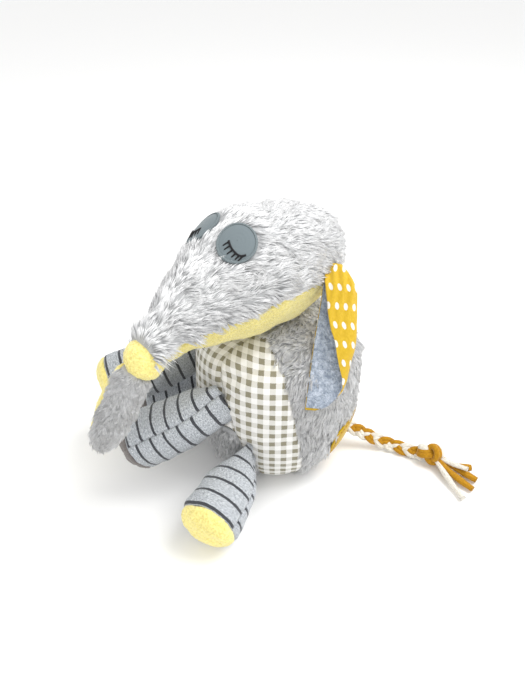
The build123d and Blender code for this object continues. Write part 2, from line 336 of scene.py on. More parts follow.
class Finish:
    """A node material with short names for the nodes used here."""

    def __init__(self, name, rough, sheen, sheen_colour=(0.9, 0.9, 0.9)):
        self.material = bpy.data.materials.new(name)
        self.material.use_nodes = True
        self.tree = self.material.node_tree
        self.shader = self.tree.nodes["Principled BSDF"]
        settings = {"Roughness": rough, "Specular IOR Level": 0.2, "Sheen Weight": sheen,
                    "Sheen Roughness": 0.45, "Sheen Tint": [*sheen_colour, 1.0]}
        for name, value in settings.items():
            self.shader.inputs[name].default_value = value
        cloth = self.node("UVMap")
        cloth.uv_map = "cloth"
        self.uv = cloth.outputs[0]
        self.u, self.v = self.node("SeparateXYZ", Vector=self.uv).outputs[:2]

    def put(self, value, socket):
        """Link a socket or set a value; a colour is given as seen on a screen."""
        if isinstance(value, bpy.types.NodeSocket):
            self.tree.links.new(value, socket)
        else:
            socket.default_value = srgb(*value) if socket.type == "RGBA" else value

    def node(self, kind, **inputs):
        """A new node with these inputs."""
        made = self.tree.nodes.new("ShaderNode" + kind)
        for name, value in inputs.items():
            self.put(value, made.inputs[name])
        return made

    def math(self, operation, *values):
        node = self.node("Math")
        node.operation = operation
        for value, socket in zip(values, node.inputs):
            self.put(value, socket)
        return node.outputs[0]

    def times(self, a, b):
        return self.math("MULTIPLY", a, b)

    def mix(self, share, a, b, blend="MIX"):
        """Colour a with this share of colour b."""
        node = self.node("Mix")
        node.data_type = "RGBA"
        node.blend_type = blend
        for value, socket in ((share, 0), (a, 6), (b, 7)):
            self.put(value, node.inputs[socket])
        return node.outputs[2]

    def noise(self, scale, detail=2.0, stretch=None, where=None, rough=0.5):
        """Noise on the pattern coordinates, in lumps per mm, or in space, per metre."""
        place = where or self.uv
        if stretch:
            place = self.node("Mapping", Vector=place, Scale=stretch).outputs[0]
        return self.node("TexNoise", Vector=place, Scale=scale, Detail=detail, Roughness=rough).outputs[0]

    def space(self):
        """Object coordinates, in metres."""
        return self.node("TexCoord").outputs["Object"]

    def cells(self, scale, where):
        return self.node("TexVoronoi", Vector=where, Scale=scale).outputs["Distance"]

    def ramp(self, value, *stops):
        """Colours at these places of a value from 0 to 1."""
        node = self.node("ValToRGB")
        ends = node.color_ramp.elements
        while len(ends) < len(stops):
            ends.new(0.5)
        for end, (at, colour) in zip(ends, stops):
            end.position = at
            end.color = srgb(*colour)
        self.put(value, node.inputs[0])
        return node.outputs[0]

    def colour(self, value):
        self.put(value, self.shader.inputs["Base Color"])

    def levelled(self, colour, level):
        """The colour, lighter or darker by a factor."""
        grey = self.node("CombineColor", Red=level, Green=level, Blue=level)
        return self.mix(1.0, colour, grey.outputs[0], "MULTIPLY")

    def tint_level(self):
        """Brightness from the per-point value, 6 percent a step: random tone of the strands plus painted
        light and shade given per piece.
        """
        node = self.node("Attribute")
        node.attribute_name = "tint"
        return self.math("MULTIPLY_ADD", node.outputs["Fac"], 0.06, 1.0)

    def bump(self, height, distance, strength=1.0):
        node = self.node("Bump", Distance=distance, Strength=strength, Height=height)
        self.put(node.outputs[0], self.shader.inputs["Normal"])


def weave(f, pitch, depth=0.00012):
    """Over and under threads this far apart in mm."""
    across, down = (f.math("SINE", f.times(line, 2 * pi / pitch)) for line in (f.u, f.v))
    f.bump(f.math("ADD", f.times(across, down), f.noise(1.6, 3.0)), depth)


def fur_finish(low, high, pale):
    """Pile: darker at the roots, paler at the tips, no two strands alike."""
    f = Finish("grey fur", 0.85, 0.35)
    between = [(a + b) / 2 for a, b in zip(low, high)]
    body = f.ramp(f.v, (0.0, low), (0.35, between), (0.8, high), (1.0, pale))
    streak = f.math("MULTIPLY_ADD", f.noise(900.0, where=f.space()), 0.16, 0.92)
    # painted light and shade: strands are made lighter or darker by the per-point brightness value
    f.colour(f.levelled(body, f.times(f.tint_level(), streak)))
    f.bump(f.noise(1400.0, where=f.space()), 0.0003, 0.5)
    return f.material


def fleece_finish(colour, shade):
    """Short brushed knit: small curls with shaded hollows."""
    f = Finish("yellow fleece", 0.95, 0.5, (1.0, 1.0, 0.9))
    here = f.space()
    curl = f.noise(527.0, 4.0, where=here, rough=0.65)
    low = f.ramp(curl, (0.3, shade), (0.62, colour))
    lighter = [min(1.0, c * 1.03) for c in colour]
    patchy = f.mix(f.times(f.noise(90.0, where=here), 0.35), low, lighter)
    # painted shade: the per-point brightness value darkens only the chin's fleece
    f.colour(f.levelled(patchy, f.tint_level()))
    f.bump(f.math("ADD", curl, f.times(f.cells(765.0, here), 0.6)), 0.0011, 0.8)
    return f.material


def gingham_finish(repeat=10.6, dark_share=0.49):
    """White cotton with a yarn-dyed khaki check."""
    f = Finish("gingham cotton", 0.88, 0.15)
    bands = []
    for line, begin in ((f.u, 0.31), (f.v, 0.17)):
        wobble = f.math("MULTIPLY_ADD", f.noise(0.55), 0.7, line)
        part = f.math("FRACT", f.math("ADD", f.math("DIVIDE", wobble, repeat), begin))
        bands.append(f.math("LESS_THAN", part, dark_share))
    twill = f.math("SINE", f.times(f.math("SUBTRACT", f.u, f.v), 2 * pi / 1.25))
    half = f.mix(f.math("MULTIPLY_ADD", twill, 0.16, 0.5), (0.95, 0.945, 0.93), (0.74, 0.73, 0.69))
    white = f.mix(f.times(f.noise(0.9, 3.0), 0.25), (0.965, 0.96, 0.95), (0.86, 0.855, 0.84))
    dark = f.mix(f.noise(1.3, 3.0), (0.50, 0.48, 0.40), (0.62, 0.60, 0.52))
    f.colour(f.mix(f.times(*bands), f.mix(f.math("MAXIMUM", *bands), white, half), dark))
    weave(f, 0.9)
    return f.material


STRIPE_STEP = 14.0


def stripe_finish(line_share=0.17):
    """Heathered grey cotton with charcoal lines across the limb."""
    f = Finish("striped cotton", 0.9, 0.2)
    long_fleck = f.noise(0.42, 4.0, (1.0, 2.6, 1.0), rough=0.8)
    fleck = f.noise(0.8, 2.0, (1.6, 0.6, 1.0))
    base = f.ramp(long_fleck, (0.36, (0.45, 0.465, 0.49)), (0.5, (0.70, 0.72, 0.74)),
                  (0.64, (0.88, 0.89, 0.905)))
    base = f.mix(f.times(f.math("LESS_THAN", fleck, 0.4), 0.45), base, (0.50, 0.52, 0.56))
    ragged = f.math("MULTIPLY_ADD", f.noise(1.1, 3.0), 0.9, f.v)
    line = f.math("LESS_THAN", f.math("FRACT", f.math("DIVIDE", ragged, STRIPE_STEP)), line_share)
    ink = f.mix(f.noise(1.8, 3.0), (0.11, 0.115, 0.135), (0.25, 0.255, 0.28))
    f.colour(f.mix(f.times(line, 0.94), base, ink))
    weave(f, 1.1, 0.00014)
    return f.material


def polka_finish(row_step=15.6, spot_step=13.2, spot_radius=3.35):
    """Mustard cotton with white spots in staggered rows."""
    f = Finish("polka cotton", 0.8, 0.2, (1.0, 0.95, 0.8))
    row = f.math("DIVIDE", f.math("SUBTRACT", f.v, -0.3), row_step)
    odd = f.math("FRACT", f.times(f.math("FLOOR", row), 0.5))
    up = f.times(f.math("SUBTRACT", f.math("FRACT", row), 0.5), row_step)
    column = f.math("ADD", f.math("DIVIDE", f.u, spot_step), f.math("ADD", odd, 0.1))
    across = f.times(f.math("SUBTRACT", f.math("FRACT", column), 0.5), spot_step)
    far = f.math("SQRT", f.math("ADD", f.times(across, across), f.times(up, up)))
    far = f.math("MULTIPLY_ADD", f.noise(0.8), 0.7, far)
    gold = f.mix(f.noise(0.35, 4.0), (0.80, 0.63, 0.10), (0.93, 0.79, 0.25))
    f.colour(f.mix(f.math("LESS_THAN", far, spot_radius), gold, (0.97, 0.96, 0.93)))
    weave(f, 0.8)
    return f.material


def terry_finish():
    """Blue-grey boucle of small loops."""
    f = Finish("blue terry", 0.95, 0.4)
    here = f.space()
    loops = f.cells(680.0, here)
    blotch = f.noise(240.0, 4.0, where=here, rough=0.7)
    base = f.ramp(blotch, (0.36, (0.50, 0.54, 0.60)), (0.5, (0.66, 0.70, 0.755)),
                  (0.64, (0.82, 0.85, 0.90)))
    f.colour(f.mix(f.times(loops, 0.5), base, (0.47, 0.51, 0.57)))
    f.bump(f.math("SUBTRACT", blotch, loops), 0.0012, 0.9)
    return f.material


def plain_finish(name, low, high, grain, rough=0.9, sheen=0.25, depth=0.00025, stretch=None):
    """Felt, jersey, satin or thread with fine fibres."""
    f = Finish(name, rough, sheen)
    fibres = f.noise(grain, 4.0, stretch, rough=0.65)
    f.colour(f.ramp(fibres, (0.3, low), (0.7, high)))
    f.bump(fibres, depth, 0.8)
    return f.material


def yarn_finish(name, low, high):
    """Loosely twisted jersey yarn."""
    return plain_finish(name, low, high, 1.1, 0.85, 0.2, 0.0003, (1.0, 0.35, 1.0))


FUR = fur_finish((0.57, 0.575, 0.58), (0.935, 0.935, 0.937), (1.0, 1.0, 0.995))
FLEECE = fleece_finish((0.98, 0.925, 0.60), (0.82, 0.745, 0.39))
GINGHAM = gingham_finish()
STRIPE = stripe_finish()
SATIN = plain_finish("taupe satin", (0.38, 0.36, 0.35), (0.50, 0.48, 0.47), 0.7, 0.42, 0.1)
POLKA = polka_finish()
TERRY = terry_finish()
EYE_FELT = plain_finish("eye felt", (0.37, 0.41, 0.425), (0.49, 0.53, 0.545), 2.2)
EYE_EDGE = plain_finish("eye edge thread", (0.36, 0.40, 0.415), (0.55, 0.59, 0.60), 1.0,
                        0.6, 0.1, 0.0005, (9.0, 1.2, 1.0))
BLACK = plain_finish("black thread", (0.03, 0.03, 0.035), (0.14, 0.14, 0.15), 1.4, 0.6, 0.1,
                     0.0004, (1.0, 3.0, 1.0))
MUSTARD_FELT = plain_finish("mustard felt", (0.66, 0.52, 0.02), (0.78, 0.64, 0.06), 1.3)
MUSTARD = yarn_finish("mustard jersey", (0.58, 0.40, 0.05), (0.75, 0.55, 0.11))
WHITE = yarn_finish("white jersey", (0.72, 0.70, 0.65), (0.92, 0.905, 0.87))


# ---- tail
TAIL_ROUTE = [(29.9, 73.4, 24.0), (43.0, 103.0, 6.6), (58.5, 120.0, 6.6), (71.5, 134.0, 6.6)]
TAIL_SEWN_IN = 20.0
PLAIT_REPEAT, PLAIT_WIDE, PLAIT_DEEP = 33.0, 3.1, 1.9
YARN_R, YARN_APART = 2.35, 1.65


def bend_line(p, q, r, s):
    """From p to r, bending towards q, as s goes from 0 to 1."""
    return p * (1 - s) ** 2 + q * 2 * s * (1 - s) + r * s ** 2


def route_line(points):
    """Points on the smooth curve that these four points control."""
    a, b, c, d = np.array(points)
    middle = (b + c) / 2
    u = np.linspace(0, 2, 120)[:, None]
    return np.where(u < 1, bend_line(a, b, middle, u), bend_line(middle, c, d, u - 1))


def plait(name, centre, run):
    """Three strands of two cords each, plaited round a centre line."""
    forward = unit(np.gradient(centre, axis=0))
    beside = unit(np.cross(forward, UP))
    above = np.cross(beside, forward)
    wide_way = above * 0.75 - beside * 0.66
    deep_way = above * 0.66 + beside * 0.75
    braid = Cloth()
    for strand, slots in enumerate(((0, 0), (1, 1), (0, 1))):
        phase = 2 * pi * (run / PLAIT_REPEAT + strand / 3)
        middle = (centre + wide_way * (PLAIT_WIDE * np.sin(phase))[:, None]
                  + deep_way * (PLAIT_DEEP * np.sin(2 * phase))[:, None])
        spread = unit(np.cross(unit(np.gradient(middle, axis=0)), deep_way))
        for side, slot in zip((-1, 1), slots):
            braid.tube(middle + spread * (side * YARN_APART), YARN_R, up=deep_way, slot=slot)
    return braid.make(name, MUSTARD, WHITE)


centre, run = along(route_line(TAIL_ROUTE), 150)
tail = plait("tail_braid_cords", centre, run)
inward = np.linspace(-TAIL_SEWN_IN, 0.4, 24)
first_way = unit(centre[1] - centre[0])
tail_root = plait("tail_root_cords", centre[0] + first_way * inward[:, None], inward)
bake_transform(tail_root)

# the knot: three cords side by side, tied once over
KNOT_AT = np.array((77.5, 139.5, 11.8))
KNOT_LONG, KNOT_TALL, KNOT_DEEP = 3.9, 2.75, 4.2
KNOT_CORD_R, KNOT_CORD_STEP = 3.0, 3.5
t = circle(120)
tail_way = unit(centre[-1] - centre[-2])
tail_side = unit(np.cross(tail_way, UP))
knot_line = (KNOT_AT + tail_way * (KNOT_LONG * (np.cos(t) - 2 * np.cos(2 * t)))[:, None]
             + UP * (KNOT_TALL * (np.sin(t) + 2 * np.sin(2 * t)))[:, None]
             - tail_side * (KNOT_DEEP * np.sin(3 * t))[:, None])
knot = Cloth()
step = unit(np.roll(knot_line, -1, 0) - np.roll(knot_line, 1, 0))
outward = unit(knot_line - KNOT_AT)
flat_way = unit(np.cross(step, outward))
for place, slot in ((-1, 1), (0, 0), (1, 0)):
    knot.tube(knot_line + flat_way * (place * KNOT_CORD_STEP), KNOT_CORD_R, up=outward, slot=slot, loop=True)
knot_piece = knot.make("tail_knot_cords", MUSTARD, WHITE)

# tip, radius, how far the end bows aside, and yarn
TAIL_ENDS = {
    "tail_end_mustard_1": ((101, 172, 4.4), 3.3, 3.2, MUSTARD),
    "tail_end_mustard_2": ((117, 168, 4.4), 3.3, -0.8, MUSTARD),
    "tail_end_mustard_3": ((126, 158, 4.4), 3.3, 1.2, MUSTARD),
    "tail_end_white_1": ((108, 162, 12.5), 2.7, 0.0, WHITE),
    "tail_end_white_2": ((133, 143, 4.0), 2.7, 0.0, WHITE),
}
tail_pieces = [knot_piece]
for index, (node, (tip, radius, bow, finish)) in enumerate(TAIL_ENDS.items()):
    tip = np.array(tip, float)
    base = KNOT_AT + (tip - KNOT_AT) * 0.12
    sideways = unit(np.cross(tip - base, UP))
    path = spline([base, (tip + base) / 2 + sideways * bow, tip], 26)
    s = np.linspace(0, 1, len(path))
    path[:, 2] = np.maximum(path[:, 2] - 1.2 * np.sin(pi * s), radius * 0.8)
    thick = radius * (0.98 + 0.12 * np.sin(s * 9 + index) + 0.1 * s)
    end = Cloth()
    end.tube(path, thick, flat=0.72)
    piece = end.make(node + "_cord", finish)
    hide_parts(node)
    tail_pieces.append(piece)
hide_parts("tail_braid")
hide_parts("tail_knot")
for piece in (tail, *tail_pieces):
    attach(piece, "tail")


# ---- body
BODY_PROFILE = [(46, 0), (55, 4), (64.5, 15), (72, 33), (77, 60), (78, 95), (75.5, 124),
                (68, 141), (56, 149.5), (38, 156), (20, 159.2), (7, 160.2), (0, 160.3)]
FRONT_SEAM = [(38, -1), (49, 8), (57, 30), (54, 66), (45, 95), (34, 130), (25, 150), (14, 166)]
BELLY_LINE = 74.0
SEAT_ROWS = 14
seat = np.stack([np.linspace(0.5, 44.5, SEAT_ROWS), np.zeros(SEAT_ROWS)], 1)
profile = np.r_[seat, spline(BODY_PROFILE, 140)[:-1], [(0.4, 160.3)]]
profile_run = run_of(profile)
front_curve = spline(FRONT_SEAM, 100)


def body_radius(z):
    """Radius of the body at a height above the seat."""
    return np.interp(z, profile[SEAT_ROWS:, 1], profile[SEAT_ROWS:, 0])


def front_angle(r, z):
    """Angle from straight ahead to the front panel's seam."""
    x = np.interp(z, front_curve[:, 1], front_curve[:, 0])
    return np.arcsin(np.clip(x / np.maximum(r, 0.1), 0, 1))


def back_angle(r, z):
    """Angle from straight ahead to the fur back's seam."""
    y = -14.0 + 0.175 * (130.0 - z)
    return np.maximum(np.arccos(np.clip(-y / np.maximum(r, 0.1), -1, 1)), front_angle(r, z) + 0.02)


def spine(r, z):
    """Angle from straight ahead to the seam down the middle of the back."""
    return np.full(np.shape(r), pi)


def mirrored(angle):
    """The same seam on the elephant's right."""
    return lambda r, z: -angle(r, z)


# root height and turn, axis turn and slope, length, seam angle, the pad's finish and ripple
LIMBS = {
    "left_arm": (105.0, 33.0, -16.0, 29.5, 103.0, 33.0, SATIN, 0.3),
    "right_arm": (105.0, -33.0, -4.0, 15.0, 103.0, 36.0, FLEECE, 0.3),
    "left_leg": (46.0, 52.0, 44.0, 10.0, 87.0, 14.0, FLEECE, 0.3),
    "right_leg": (46.0, -52.0, -17.0, 10.0, 87.0, 166.0, SATIN, 0.0),
}


def limb_frame(name):
    """Root point, axis, thin and tall directions of a limb."""
    height, root_turn, turn, slope = LIMBS[name][:4]
    a, s = radians(turn), radians(slope)
    axis = np.array((sin(a) * cos(s), -cos(a) * cos(s), -sin(s)))
    thin = unit(np.array((-axis[1], axis[0], 0.0)))
    wide = body_radius(height)
    b = radians(root_turn)
    root = np.array((wide * sin(b), -wide * cos(b), height))
    return root, axis, thin, np.cross(axis, thin)


def pulled(P):
    """Dimples and gathers where the limbs are sewn in."""
    total = np.zeros(P.shape[:2])
    for index, name in enumerate(LIMBS):
        root, _, thin, tall = limb_frame(name)
        x, y = (P - root) @ thin, (P - root) @ tall
        far = np.sqrt(x ** 2 + np.maximum(np.abs(y) - 19.0, 0) ** 2)
        folds = np.sin(np.abs(y) * 0.55 + x * 0.28 + index) + 0.6 * np.sin(y * 0.95 - x * 0.2)
        total += -2.4 * bell(far, 7.0) + 0.75 * folds * bell(far, 12.0)
    return total


def seated(P):
    """Just above the seat the stuffing is rounder, at the rear most of all."""
    r = np.hypot(P[..., 0], P[..., 1])
    behind = np.clip(P[..., 1] / np.maximum(r, 0.1), 0, 1)
    beside = np.clip(np.abs(P[..., 0]) / np.maximum(r, 0.1), 0, 1)
    height = np.maximum(P[..., 2], 0)
    inward = (17.0 * behind * np.exp(-(height / 38.0) ** 1.3)
              + 8.0 * beside ** 2 * np.exp(-(height / 20.0) ** 1.5))
    share = 1 - inward / np.maximum(r, 46.0)
    return P * np.stack([share, share, np.ones_like(share)], -1)


def body_panel(low, high, start, stop, cols, middle, lumps):
    """Grid of one panel: runs low to high, angles start(r, z) to stop(r, z)."""
    chosen = (profile_run >= low) & (profile_run <= high)
    runs = profile_run[chosen]
    r, z = profile[chosen].T
    s = 0.5 - 0.125 * np.cos(np.linspace(0, pi, cols)) - 0.375 * (1 - 2 * np.linspace(0, 1, cols))
    a0, a1 = start(r, z), stop(r, z)
    angle = a0[:, None] + (a1 - a0)[:, None] * s
    flat = np.zeros(angle.shape)
    ahead = np.stack([np.sin(angle), -np.cos(angle), flat], -1)
    P = ahead * r[:, None, None] + UP * z[:, None, None]
    uv = np.stack([(angle - middle) * r[:, None], flat + runs[:, None]], -1)
    gaps = np.broadcast_arrays((angle - a0[:, None]) * r[:, None], (a1[:, None] - angle) * r[:, None],
                               (runs - runs[0])[:, None], (runs[-1] - runs)[:, None])
    lean = unit(np.stack([np.gradient(z), -np.gradient(r)], -1))
    N = ahead * lean[:, :1, None] + UP * lean[:, 1:, None]
    soft = np.clip(z / 12.0, 0, 1)[:, None]
    move = groove(np.abs(gaps).min(0), 1.6, 2.0) + pulled(P) * soft
    move = move + 0.7 * waves(P, 46, 5) * soft + lumps * waves(P, 11, 6) * soft
    P = P + N * move[..., None]
    neck = 3.0 * bell(np.hypot(P[..., 0], P[..., 1]), 24.0) * (P[..., 2] > 120)
    P[..., 2] = np.maximum(P[..., 2] + neck, 0.3)
    return seated(P), uv, N


PATCH_TURN = radians(148.0)
PATCH_WIDE, PATCH_TALL, PATCH_Z, PATCH_R = 45.0, 28.0, 41.0, 75.0


def off_patch(p):
    """False where a strand would start under the felt patch on the lower back."""
    across = (np.arctan2(p[:, 0], -p[:, 1]) - PATCH_TURN) * PATCH_R / (PATCH_WIDE - 1.0)
    up = (p[:, 2] - PATCH_Z) / (PATCH_TALL - 1.0)
    return across ** 4 + up ** 4 >= 1


def down(p):
    """Pile on the body leans down and a little forward."""
    return np.broadcast_to((0.0, -0.4, -1.0), p.shape)


BELLY_RUN = np.interp(BELLY_LINE, profile[SEAT_ROWS:, 1], profile_run[SEAT_ROWS:])
TOP_RUN = profile_run[-1]
# first and last run, the two seams, columns, middle of the pattern, bunches of pile
PANELS = {
    "body_front_panel": (BELLY_RUN, TOP_RUN, mirrored(front_angle), front_angle, 60, 0.0, 0),
    "body_belly_panel": (0.0, BELLY_RUN, mirrored(front_angle), front_angle, 56, 0.0, 1200),
    "body_left_side_panel": (0.0, TOP_RUN, front_angle, back_angle, 56, 1.2, 0),
    "body_right_side_panel": (0.0, TOP_RUN, mirrored(front_angle), mirrored(back_angle), 56, -1.2, 0),
    "body_left_back_panel": (0.0, TOP_RUN, back_angle, spine, 56, 2.4, 3650),
    "body_right_back_panel": (0.0, TOP_RUN, mirrored(back_angle), mirrored(spine), 56, -2.4, 3650),
}
CHECK_TILT = 0.22
for index, (node, (*shape, clumps)) in enumerate(PANELS.items()):
    finish, slot = (FUR, "grey_fur") if clumps else (GINGHAM, "gingham")
    P, uv, N = body_panel(*shape, lumps=0.35 if clumps else 0.15)
    inside = []
    if node == "body_front_panel":
        inside = ["body_stuffing"]
        u, v = uv[..., 0], uv[..., 1]
        uv = np.stack([u * cos(CHECK_TILT) + v * sin(CHECK_TILT),
                       v * cos(CHECK_TILT) - u * sin(CHECK_TILT)], -1)
    panel = Cloth()
    panel.shell(P, 1.6, backing(P) if clumps else uv, N=N)
    if clumps:
        # painted shade: the body's pile is made 6 percent darker, for the shade of the head and ears
        fur(panel, P[P[:, 0, 2] > 4], down, clumps, 40 + index, length=11.0, lift=0.3,
            spread=1.9, wild=0.3, keep=off_patch, tint=lambda p: -1.0)
    hand_over(panel.make(node + "_cloth", finish), slot, node, *inside, body="body", fill=0.8)

# felt patch over the tail's root
s, h = np.meshgrid(np.linspace(-1, 1, 46), np.linspace(-1, 1, 36))
square = np.maximum(np.abs(s), np.abs(h))
pull = square / (np.abs(s) ** 4 + np.abs(h) ** 4) ** 0.25
turn = PATCH_TURN + s * pull * PATCH_WIDE / PATCH_R
height = PATCH_Z + h * pull * PATCH_TALL
rim = np.clip((1 - square) * 9, 0, 1)
lift = 3.6 + 0.9 * np.sqrt(rim) - 0.7 * np.exp(-((1 - square) * 30 - 3.2) ** 2 * 0.6)
r = body_radius(height) + lift
patch_grid = seated(np.stack([r * np.sin(turn), -r * np.cos(turn), height], -1))
patch = Cloth()
patch.shell(patch_grid, 1.3, np.stack([s * PATCH_WIDE, h * PATCH_TALL], -1))
edge = np.r_[patch_grid[2, 2:-2], patch_grid[2:-2, -3], patch_grid[-3, -3:1:-1], patch_grid[-3:1:-1, 2]]
edge_line = along(np.r_[edge, edge[:1]], 220)[0]
stitches = edge_line + unit(edge_line * (1, 1, 0)) * 0.35
for k in range(0, 218, 4):
    patch.tube(stitches[k:k + 3], 0.4, 6, slot=1)
hand_over(patch.make("tail_patch_felt", MUSTARD_FELT, MUSTARD), "mustard_felt", "tail_patch", body="body")

# ---- limbs
PAD_DEPTH = 13.0
PAD_SIDES = 96


def limb_rings(length):
    """Smooth run of (height, half width, half thickness) to the pad's middle."""
    return spline([(-4, 20.4, 3.4), (0, 20.9, 4.8), (11, 22.1, 11.5), (22, 23.4, 18.6),
                   (34, 24.6, 23.2), (46, 25.4, 25.4), (62, 26.3, 26.3),
                   (length - 22, 26.8, 26.8), (length - 12, 26.2, 26.2),
                   (length - 3.4, 19.3, 19.3), (length - 0.6, 9.5, 9.5), (length, 0.3, 0.3)], 130)


def limb(index, name):
    """The upper and under cloth of a limb, and its pad."""
    length, seam, pad_finish, ripple = LIMBS[name][4:]
    root, axis, thin, tall = limb_frame(name)
    rings = limb_rings(length)
    runs = run_of(rings[:, :2])
    pad_row = int(np.argmin(np.abs(rings[:, 0] - (length - PAD_DEPTH))))

    def part_grid(rows, angles, part):
        """Grid of one part of the limb with its seams, gathers and lumps."""
        z, w, t = rings[rows].T
        c, s = np.cos(angles), np.sin(angles)
        flat = (root + axis * z[:, None, None] + thin * (t[:, None] * c)[..., None]
                + tall * (w[:, None] * s)[..., None])
        far = np.abs(runs[rows] - runs[pad_row])[:, None] + 0 * angles
        if part != "pad":
            side = np.minimum(angles - angles[0], angles[-1] - angles)
            far = np.minimum(far, side * w[:, None])
        gather = 0.95 * np.exp(-np.maximum(z, 0) / 15.0)[:, None] * np.sin(angles * 7 + index)
        lumps = 0.8 * waves(flat, 38, 60 + index) + 0.28 * waves(flat, 12, 70 + index)
        move = groove(far, 1.25, 1.7) + gather + np.clip((z + 2) / 20, 0, 1)[:, None] * lumps
        crease = bell(z - 30, 7.0)[:, None] * np.clip(-s, 0, 1) ** 2
        out = thin * c[:, None] + tall * s[:, None]
        flat = flat + out * (move - 1.4 * crease)[..., None]
        if part == "pad":
            flat = flat + axis * (0.5 * waves(flat, 15, 80 + index))[..., None]
        shift = 0.0 if part == "upper" else 7.0
        return flat, np.stack([angles * 26.5 + 0 * z[:, None], z[:, None] + shift + 0 * angles], -1)

    for part, a0 in (("upper", radians(seam)), ("under", radians(seam) + pi)):
        P, uv = part_grid(slice(0, pad_row + 1), np.linspace(a0, a0 + pi, 54), part)
        uv[..., 1] += STRIPE_STEP * 9 - (length - PAD_DEPTH - 3.0)
        cloth = Cloth()
        cloth.shell(P, 1.5, uv)
        piece = cloth.make(f"{name}_{part}_cloth", STRIPE)
        inside = [f"{name}_stuffing"] if part == "upper" else []
        hand_over(piece, "striped_cotton", f"{name}_{part}_panel", *inside)
        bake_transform(piece)
    P, uv = part_grid(slice(pad_row, None), circle(PAD_SIDES), "pad")
    P = P + unit(P - (root + axis * (length - 26))) * (ripple * waves(P, 3.2, 90 + index))[..., None]
    back = P[0] + (root + axis * (length - PAD_DEPTH) - P[0]) * 0.08
    pad = Cloth()
    pad.grid(np.r_[back[None], P], np.r_[uv[:1], uv])
    pad.cap(0, PAD_SIDES, -1)
    pad.cap(PAD_SIDES * len(P), PAD_SIDES)
    slot = "yellow_fleece" if pad_finish is FLEECE else "taupe_satin"
    hand_over(pad.make(f"{name}_pad_cloth", pad_finish), slot, f"{name}_pad", body=name, fill=0.9)


for index, name in enumerate(LIMBS):
    limb(index, name)

# ---- head
HEAD_CENTRE = np.array((11.0, -36.0, 214.5))
head_turn, head_roll = radians(24.0), radians(-3.0)
HEAD_Z = np.array((sin(head_turn), -cos(head_turn), 0.0))
HEAD_X = np.array((cos(head_turn) * cos(head_roll), sin(head_turn) * cos(head_roll), -sin(head_roll)))
HEAD_Y = np.cross(HEAD_Z, HEAD_X)
# distance along the axis, radius, height of the middle
HEAD_LINE = [(-109, 0.3, 0), (-106.5, 14, 0), (-98, 25.5, 0), (-86, 35, 0), (-72, 42, 0), (-53, 48, 0),
             (-26, 51.2, 0), (-6, 51.5, 0), (2, 51.4, -0.1), (16, 48.7, -2.2), (32, 43.3, -6),
             (47, 37.2, -10), (61, 31, -14.2), (74, 25.2, -19.2), (86, 20, -24.6), (96, 17, -29.2),
             (103, 15.5, -33), (106, 9, -34), (107, 0.3, -34.5)]
head_line = spline(HEAD_LINE, 150)
HEAD_T = head_line[:, 0]


def head_size(t):
    """Radius and height of the middle at distance t along the head's axis."""
    return np.interp(t, HEAD_T, head_line[:, 1]), np.interp(t, HEAD_T, head_line[:, 2])


def head_point(t, angle, grow=0.0):
    """Point of the head at distance t along its axis; angle 90 degrees is the crown.

    The crown is a little lower behind the eyes, where the stuffing has settled.
    """
    low_back = np.clip(-(t + 10.0) / 50.0, 0, 1) * (0.5 + 0.5 * np.sin(angle)) ** 1.5
    R, sag = head_size(t)
    R = R * (1 - 0.11 * low_back) + grow
    return (HEAD_CENTRE + HEAD_Z * t[..., None] + HEAD_X * (R * np.cos(angle))[..., None]
            + HEAD_Y * (sag + R * np.sin(angle))[..., None])


EYE_AT, EYE_SIDE, EYE_LENGTH, EYE_WIDTH, EYE_R = 21.0, 26.0, 14.5, 16.0, 47.0


def off_eyes(p):
    """False where a strand would start on an eye or fall across one."""
    rel = p - HEAD_CENTRE
    x = rel @ HEAD_Z - EYE_AT
    angle = np.arctan2(rel @ HEAD_X, rel @ HEAD_Y - head_size(rel @ HEAD_Z)[1])
    y = (np.abs(angle) - radians(EYE_SIDE)) * EYE_R
    inside = (x / (EYE_LENGTH + 0.2)) ** 2 + (y / (EYE_WIDTH + 0.2)) ** 2 < 1
    ahead = ((x - 5.0) / (EYE_LENGTH + 0.5)) ** 2 + (y / (EYE_WIDTH - 0.5)) ** 2 < 1
    return ~(inside | ahead)


def head_flow(p):
    """Pile on the head is brushed back and down the sides."""
    rel = p - HEAD_CENTRE
    side = np.sign(rel @ HEAD_X) * np.clip(np.abs(rel @ HEAD_X) / 45, 0, 1)
    return -HEAD_Z + HEAD_X * (side * 0.2)[:, None] - HEAD_Y * (np.abs(side) * 0.3)[:, None]


def head_panel(over, cols):
    """Grid of the fur (over) or the chin (under), which meet at the chin seam."""
    t, R, sag = head_line.T
    seam = np.where(t < -6, -6.2 - (t + 6) / 124 * 3.9, sag - 0.12 * R)
    low = np.arcsin(np.clip((seam - sag) / np.maximum(R, 0.1), -0.98, 0.98))
    a0, a1 = (low, pi - low) if over else (low, -pi - low)
    s = np.linspace(0, 1, cols)
    angle = a0[:, None] + (a1 - a0)[:, None] * s
    P = head_point(np.broadcast_to(t[:, None], angle.shape), angle)
    far = np.minimum(s, 1 - s)[None] * np.abs(a1 - a0)[:, None] * R[:, None]
    return P + grid_normals(P) * (groove(far, 1.6, 2.2) + 0.8 * waves(P, 40, 11))[..., None]


def painted_light_and_fringe(p):
    """Painted light on the head's pile: paler all over, as if lit from above, and paler still along the chin
    seam, where the pile has a whitish fringe.
    """
    rel = p - HEAD_CENTRE
    R, sag = head_size(rel @ HEAD_Z)
    return 1.8 + 1.2 * np.clip(1 - (rel @ HEAD_Y - sag + 0.12 * R) / (0.22 * R), 0, 1)


